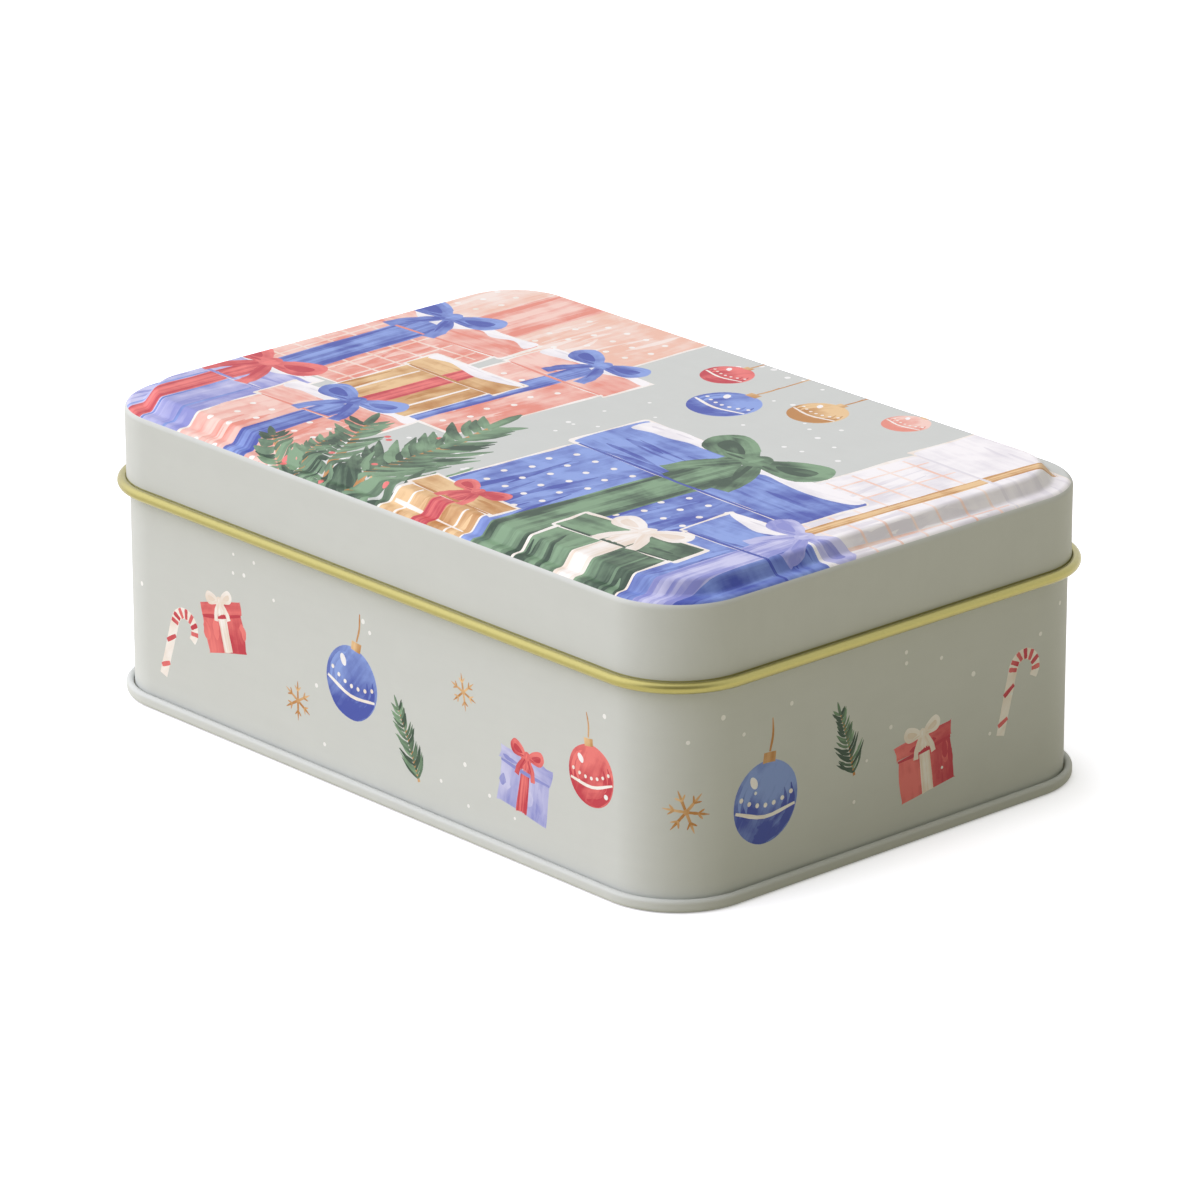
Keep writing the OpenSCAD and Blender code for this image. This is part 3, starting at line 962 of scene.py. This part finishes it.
def grow(name, n, names, sizes, start=None):
    seed = new_object(name + "_seed", start or bpy.data.meshes.new(name + "_seed"))
    modifier = seed.modifiers.new("grow", "NODES")
    modifier.node_group = n.tree
    for label, value in sizes.items():
        modifier[names[label]] = value
    mesh = bpy.data.meshes.new_from_object(seed.evaluated_get(bpy.context.evaluated_depsgraph_get()))
    seed.modifiers.remove(modifier)
    bpy.data.objects.remove(seed)
    mesh.name = name
    mesh.materials.clear()
    return mesh


# %% Folded bottom
lacquer = grained("sage_lacquered_tinplate", PAINTS["sage"], VARNISH_ROLL, (0.34, 0.42), detail=2, IOR=1.5)
bottom_sizes = {"Length": 2 * HALF_X * MM, "Width": 2 * HALF_Y * MM, "Corner": CORNER * MM,
        "Corner Steps": CORNER_STEPS}


def sweep_tree():
    n, given, names = new_tree("sweep_round_the_tin", bottom_sizes)
    box = n.add("CurvePrimitiveQuadrilateral", {"Width": given["Length"], "Height": given["Width"]})
    corner = {"Curve": box, "Radius": given["Corner"], "Count": given["Corner Steps"]}
    path = n.add("FilletCurve", corner, mode="POLY")
    section = n.add("MeshToCurve", {"Mesh": given["Geometry"]})
    finish_tree(n, n.add("CurveToMesh", {"Curve": path, "Profile Curve": section}), lacquer)
    return n, names


def bottom_face(depth):
    """Line along the bottom's sheet at a depth in it."""
    chuck = -SHEET - LAYER_GAP
    return np.vstack([
        arc((chuck - FOLD, BOTTOM_TOP - FOLD), FOLD - SHEET + depth, 90, 0, 8),
        arc((chuck - SHEET + FOLD, FOLD), FOLD - depth, 180, 270, 8),
        arc((SEAM_OUT - ROLL, ROLL), ROLL - depth, 270, 360, 14),
        arc((SEAM_OUT - cover_radius, cover_z), cover_radius - depth, 0, 180, 20),
        [[LAYER_GAP + depth, wall_turn_z + COMPOUND, 0, 0]]])[:, :2]


def build_bottom():
    line = np.vstack([bottom_face(0), bottom_face(SHEET)[::-1]])
    start = bpy.data.meshes.new("section")
    # A profile hangs below its path, so heights go in as negatives.
    start.from_pydata([(x * MM, -z * MM, 0) for x, z in line], [(i, i + 1) for i in range(len(line) - 1)], [])
    mesh = grow("folded_bottom", *sweep_tree(), bottom_sizes, start)
    work = bmesh.new()
    work.from_mesh(mesh)
    for face in work.faces:
        face.smooth = True
    bmesh.ops.holes_fill(work, edges=[e for e in work.edges if e.is_boundary], sides=0)
    bmesh.ops.recalc_face_normals(work, faces=work.faces)
    work.to_mesh(mesh)
    work.free()
    return add_piece("folded_bottom", mesh, "tin", lacquer)


folded_bottom = build_bottom()
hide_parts("bottom_plate")

# %% [markdown]
# ## Poured wax
#
# Soy wax creeps up the wall and the wicks as it sets, and dries with a pale frosting of fine crystals. The
# surface is a grid of rings. Below it the wax has the holes that the wicks and their feet leave in it.

# %% Soy wax
WICK_SIDES = (-1, 1)
wick_low, wick_high = size_of("wick_2")
foot_base, foot_top = size_of("wick_foot_2")
WICK_X = (wick_low[0] + wick_high[0]) / 2
WICK_RADIUS = (wick_high[0] - wick_low[0]) / 2
FOOT_RADIUS = (foot_top[0] - foot_base[0]) / 2
FOOT_METAL = 0.3
FOOT_PLAY = 0.05
CAST_GAP = 0.02
WAX_SHRINK = 0.06
CREEP = 0.55
CREEP_WIDTH = 1.3
RINGS_IN = (0, 0.12, 0.3, 0.55, 0.9, 1.4, 2.2, 3.5)
RINGS_OUT = (0, 0.15, 0.35, 0.65, 1.1, 1.8, 3)
FROST_CLOUD = 9
CRYSTAL = 0.9


def soy_wax():
    material, n, shader = new_material("soy_wax_frosted")
    cloud = n.noise(FROST_CLOUD * MM, 5, Roughness=0.6)
    frost = n.span(cloud, 0.0, 1.0, 0.42, 0.62, interpolation_type="SMOOTHSTEP")
    crystals = n.add("TexVoronoi", {"Vector": n.place(), "Scale": 1 / (CRYSTAL * MM)})
    n.fill(shader, {"Base Color": n.blend(frost, tones("#F7F1E4", "#FAF7EF")),
            "Roughness": n.span(frost, 0.42, 0.56), "Normal": n.bump(crystals, 0.12, 0.05),
            "Subsurface Weight": 0.35, "Subsurface Radius": (1.0, 0.8, 0.5),
            "Subsurface Scale": 2 * MM, "IOR": 1.44})
    return material


def ring(x, radius, steps=40):
    return radius * around(np.linspace(0, 2 * pi, steps, endpoint=False)) + [x, 0]


def wax_outline(inset):
    """Outline of the wax, inset, with a notch for the wall's lap."""
    line = outline(-SHEET - WAX_SHRINK - inset)
    deep, edge = HALF_Y - 2 * SHEET - WAX_SHRINK - inset, line[:, 1].max()
    right, left = LAP / 2 + SHEET + WAX_SHRINK + inset, -LAP / 2 - WAX_SHRINK - inset
    notch = [(right, edge), (right, deep), (left, deep), (left, edge)]
    return np.vstack([line[:CORNER_STEPS + 1], notch, line[CORNER_STEPS + 1:]])


def wax_surface(points):
    """Points raised to the surface of the wax."""
    to_wall = np.maximum(-beyond(points, -SHEET - WAX_SHRINK, CORNER - SHEET - WAX_SHRINK)[0], 0)
    to_wick = np.minimum(*[np.hypot(points[:, 0] - s * WICK_X, points[:, 1]) for s in WICK_SIDES]) - WICK_RADIUS
    creep = np.exp(-to_wall / CREEP_WIDTH) + np.exp(-np.maximum(to_wick - CAST_GAP, 0) / CREEP_WIDTH)
    return np.column_stack([points, wax_high[2] - CREEP + CREEP * np.minimum(creep, 1)])


def level(points, z=wax_low[2]):
    """Points raised to one height, which is the underside's unless given."""
    return np.insert(points, 2, z, axis=1)


def skin(work, rows):
    """Quads between closed rows of points."""
    rows = [[work.verts.new(p * MM) for p in row] for row in rows]
    for upper, lower in zip(rows, rows[1:]):
        for i in range(len(upper)):
            work.faces.new((upper[i - 1], upper[i], lower[i], lower[i - 1]))


def cap(work, lines, holes, raised):
    """Triangles over lines, less the notch and the round holes, raised by a function."""
    points, triangles, _, _ = lay_out([(line, True) for line in lines])
    x, y = points[triangles].mean(axis=1).T
    (right, deep), (left, _) = lines[0][CORNER_STEPS + 2:CORNER_STEPS + 4]
    open_there = (y > deep) & (x < right) & (x > left) | (np.hypot(np.abs(x) - WICK_X, y) < holes)
    verts = [work.verts.new(p * MM) for p in raised(points)]
    for triangle in triangles[~open_there]:
        work.faces.new([verts[i] for i in triangle])


def build_wax():
    work = bmesh.new()
    bore, neck, disc = (r + CAST_GAP for r in (WICK_RADIUS, WICK_RADIUS + FOOT_METAL + FOOT_PLAY, FOOT_RADIUS))
    disc_z, neck_z = foot_base[2] + FOOT_METAL + CAST_GAP, foot_top[2] + CAST_GAP
    edge = wax_outline(0)
    rings = [ring(s * WICK_X, bore + d) for s in WICK_SIDES for d in RINGS_OUT]
    cap(work, [wax_outline(d) for d in RINGS_IN] + rings, bore, wax_surface)
    cap(work, [edge] + [ring(s * WICK_X, disc) for s in WICK_SIDES], disc, level)
    skin(work, [wax_surface(edge), level(edge)])
    for s in WICK_SIDES:
        rows = [(bore, neck_z), (neck, neck_z), (neck, disc_z), (disc, disc_z), (disc, wax_low[2])]
        skin(work, [wax_surface(ring(s * WICK_X, bore))] + [level(ring(s * WICK_X, r), z) for r, z in rows])
    bmesh.ops.remove_doubles(work, verts=work.verts, dist=1e-6)
    bmesh.ops.recalc_face_normals(work, faces=work.faces)
    mesh = bpy.data.meshes.new("poured_wax")
    work.to_mesh(mesh)
    work.free()
    mesh.shade_smooth()
    mesh.set_sharp_from_angle(angle=radians(50))
    return add_piece("poured_wax", mesh, "tin", soy_wax())


wax = build_wax()
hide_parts("soy_wax")

# %% [markdown]
# ## Braided wicks
#
# A candle wick is a flat plait of cotton dipped in wax. Its three strands follow the same wave, a third of a turn
# apart: once across for every two times through.

# %% Wicks
wick_sizes = {"X": WICK_X * MM, "Low": wick_low[2] * MM, "High": wick_high[2] * MM, "Swing": 0.76 * MM,
        "Weave": 0.44 * MM, "Pitch": 4.2 * MM, "Strand": 0.42 * MM}
STRANDS = 3
STRAND_STEPS = 140
STRAND_SIDES = 12


def braid_tree(material):
    n, given, names = new_tree("three_strand_braid", wick_sizes)
    low, high = (n.add("CombineXYZ", {"Z": given[end]}) for end in ("Low", "High"))
    line = n.add("CurvePrimitiveLine", {"Start": low, "End": high})
    fine = n.add("ResampleCurve", {"Curve": line, "Count": STRAND_STEPS})
    strands = n.add("DuplicateElements", {"Geometry": fine, "Amount": STRANDS}, domain="SPLINE")
    z = n.add("SeparateXYZ", {"Vector": n.add("InputPosition")}, "Z")
    turns = n.math("DIVIDE", z, given["Pitch"])
    shift = n.math("DIVIDE", strands.node.outputs["Duplicate Index"], float(STRANDS))
    wave = n.math("MULTIPLY", n.math("ADD", turns, shift), 2 * pi)
    across = n.math("MULTIPLY", n.math("SINE", wave), given["Swing"])
    through = n.math("SINE", n.math("MULTIPLY", wave, 2.0))
    spot = n.add("CombineXYZ", {"X": n.math("ADD", across, given["X"]),
            "Y": n.math("MULTIPLY", through, given["Weave"]), "Z": z})
    woven = n.add("SetPosition", {"Geometry": strands, "Position": spot})
    circle = n.add("CurvePrimitiveCircle", {"Resolution": STRAND_SIDES, "Radius": given["Strand"]},
            mode="RADIUS")
    finish_tree(n, n.add("CurveToMesh", {"Curve": woven, "Profile Curve": circle,
            "Fill Caps": True}), material)
    return n, names


cotton = grained("cotton_wick_waxed", tones("#E2DACA", "#F6F2E8"), 0.12, 0.7, (0.5, 0.1), stretch=(1, 1, 0.25))
braid = braid_tree(cotton)
for number, side in enumerate(WICK_SIDES, 1):
    mesh = grow(f"braided_wick_{number}", *braid, {**wick_sizes, "X": side * WICK_X * MM})
    mesh.shade_smooth()
    mesh.set_sharp_from_angle(angle=radians(60))
    wick = add_piece(f"braided_wick_{number}", mesh, "tin", cotton)
    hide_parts(f"wick_{number}")

# %% [markdown]
# ## Finishes for the measured parts
#
# Some small parts keep their measured shape and only get a finish: the compound that seals the fold, the feet
# that grip the wicks, and the foam stickers that hold the feet down.

# %% Small parts
def finish_nodes(material, slot_name, *nodes):
    for name in nodes:
        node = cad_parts[name]
        node.data.materials.clear()
        node.data.materials.append(material)


RELIEF = (0.2, 0.05)
# Lining compound dries to a dull, slightly grained rubber.
compound = grained("latex_lining_compound", tones("#C9C3B2", "#B9B2A0"), 0.6, 0.8, RELIEF)
finish_nodes(compound, "compound", "seam_compound")
# Tinned steel is bright but softly grained from rolling.
steel = grained("tinned_steel", tones("#C9C9C5", "#BDBDB8"), 0.5, 0.32, RELIEF, Metallic=1.0)
finish_nodes(steel, "foot_steel", "wick_foot_1", "wick_foot_2")
# Adhesive foam is matt, with a fine open grain.
foam = grained("adhesive_foam", tones("#EDEBE4", "#DAD7CD"), 0.3, 0.95, RELIEF)
finish_nodes(foam, "adhesive_foam", "wick_sticker_1", "wick_sticker_2")

# %% [markdown]
# ## Light and floor
#
# Soft studio light: a warm fill from every side and one large, cooler lobe from the upper left front. The camera
# and reflections see a white surround instead, dimmer in reflections towards the viewer. The floor glows to the
# camera, and ambient occlusion dims that glow close to the tin as a painted contact shadow.

# %% Light and floor
KEY_FROM = Vector((-0.60, -0.49, 0.69)).normalized()
KEY_START = 0.45
FILL = 0.30
KEY = 2.53
VIEWER_START = 0.5
VIEWER_SHINE = 0.25
FLOOR_BOUNCE = (0.64, 0.62, 0.50, 1)
FLOOR_SEEN = (0.83, 0.84, 0.91, 1)
WHITE = (1, 1, 1, 1)
# The floor's glow to the camera: a base, and a part that ambient occlusion dims near the tin as painted contact
# shadow.
FLOOR_GLOW = 0.31
CONTACT = 0.34
CONTACT_REACH = 7.0
FLOOR_SHINE = 0.3
FLOOR_SIDE = 3.0
SURROUND_SHINE = 0.75


def towards(n, way, start, far, near):
    """A value that eases from far to near as a ray turns towards a direction."""
    ray = n.add("TexCoord", out="Generated")
    closeness = n.add("VectorMath", {0: ray, 1: way}, "Value", operation="DOT_PRODUCT")
    return n.span(closeness, far, near, start, 1.0, interpolation_type="SMOOTHSTEP")


def light_the_scene():
    world = bpy.data.worlds.new("soft_studio")
    bpy.context.scene.world = world
    world.use_nodes = True
    world.node_tree.nodes.clear()
    n = Nodes(world.node_tree)
    ray = n.add("LightPath").node.outputs
    fill = n.add("Background", {"Color": linear("#FFFAE0"), "Strength": FILL})
    key = n.add("Background", {"Color": linear("#F4F2FF"),
            "Strength": towards(n, KEY_FROM, KEY_START, 0.0, KEY)})
    lit = n.add("AddShader", {0: fill, 1: key})
    dimmed = n.math("MAXIMUM", towards(n, VIEW_FROM, VIEWER_START, 1.0, VIEWER_SHINE),
            ray["Is Camera Ray"])
    white = n.add("Background", {"Color": WHITE, "Strength": dimmed})
    glossy = n.math("MULTIPLY", ray["Is Glossy Ray"], SURROUND_SHINE)
    shown = n.math("MAXIMUM", ray["Is Camera Ray"],
            n.math("MAXIMUM", glossy, ray["Is Transmission Ray"]))
    both = n.add("MixShader", {0: shown, 1: lit, 2: white})
    n.add("OutputWorld", {"Surface": both})


def lay_floor():
    corners = [(x * FLOOR_SIDE, y * FLOOR_SIDE, 0) for x, y in ((-1, -1), (1, -1), (1, 1), (-1, 1))]
    mesh = bpy.data.meshes.new("floor")
    mesh.from_pydata(corners, [], [(0, 1, 2, 3)])
    floor = new_object("floor", mesh)
    # Matt white paper, which glows to the camera and fainter in reflections. Near the tin ambient occlusion dims
    # the glow as a painted contact shadow.
    material, n, shader = new_material("white_paper_sweep")
    ray = n.add("LightPath").node.outputs
    open_sky = n.add("AmbientOcclusion", {"Distance": CONTACT_REACH * MM}, "AO")
    seen = n.math("ADD", n.math("MULTIPLY", open_sky, CONTACT), FLOOR_GLOW)
    glow = n.math("ADD", n.math("MULTIPLY", ray["Is Camera Ray"], seen),
            n.math("MULTIPLY", ray["Is Glossy Ray"], FLOOR_SHINE))
    n.fill(shader, {"Base Color": n.blend(ray["Is Camera Ray"], (FLOOR_BOUNCE, FLOOR_SEEN)),
            "Roughness": 0.9, "Specular IOR Level": 0.1, "Emission Color": WHITE,
            "Emission Strength": glow})
    mesh.materials.append(material)


light_the_scene()
lay_floor()

# %% [markdown]
# ## Finish
#
# The view stays on the Standard transform, so that a colour renders about as it is written.

# %% Finish
bpy.context.scene.view_settings.view_transform = "Standard"
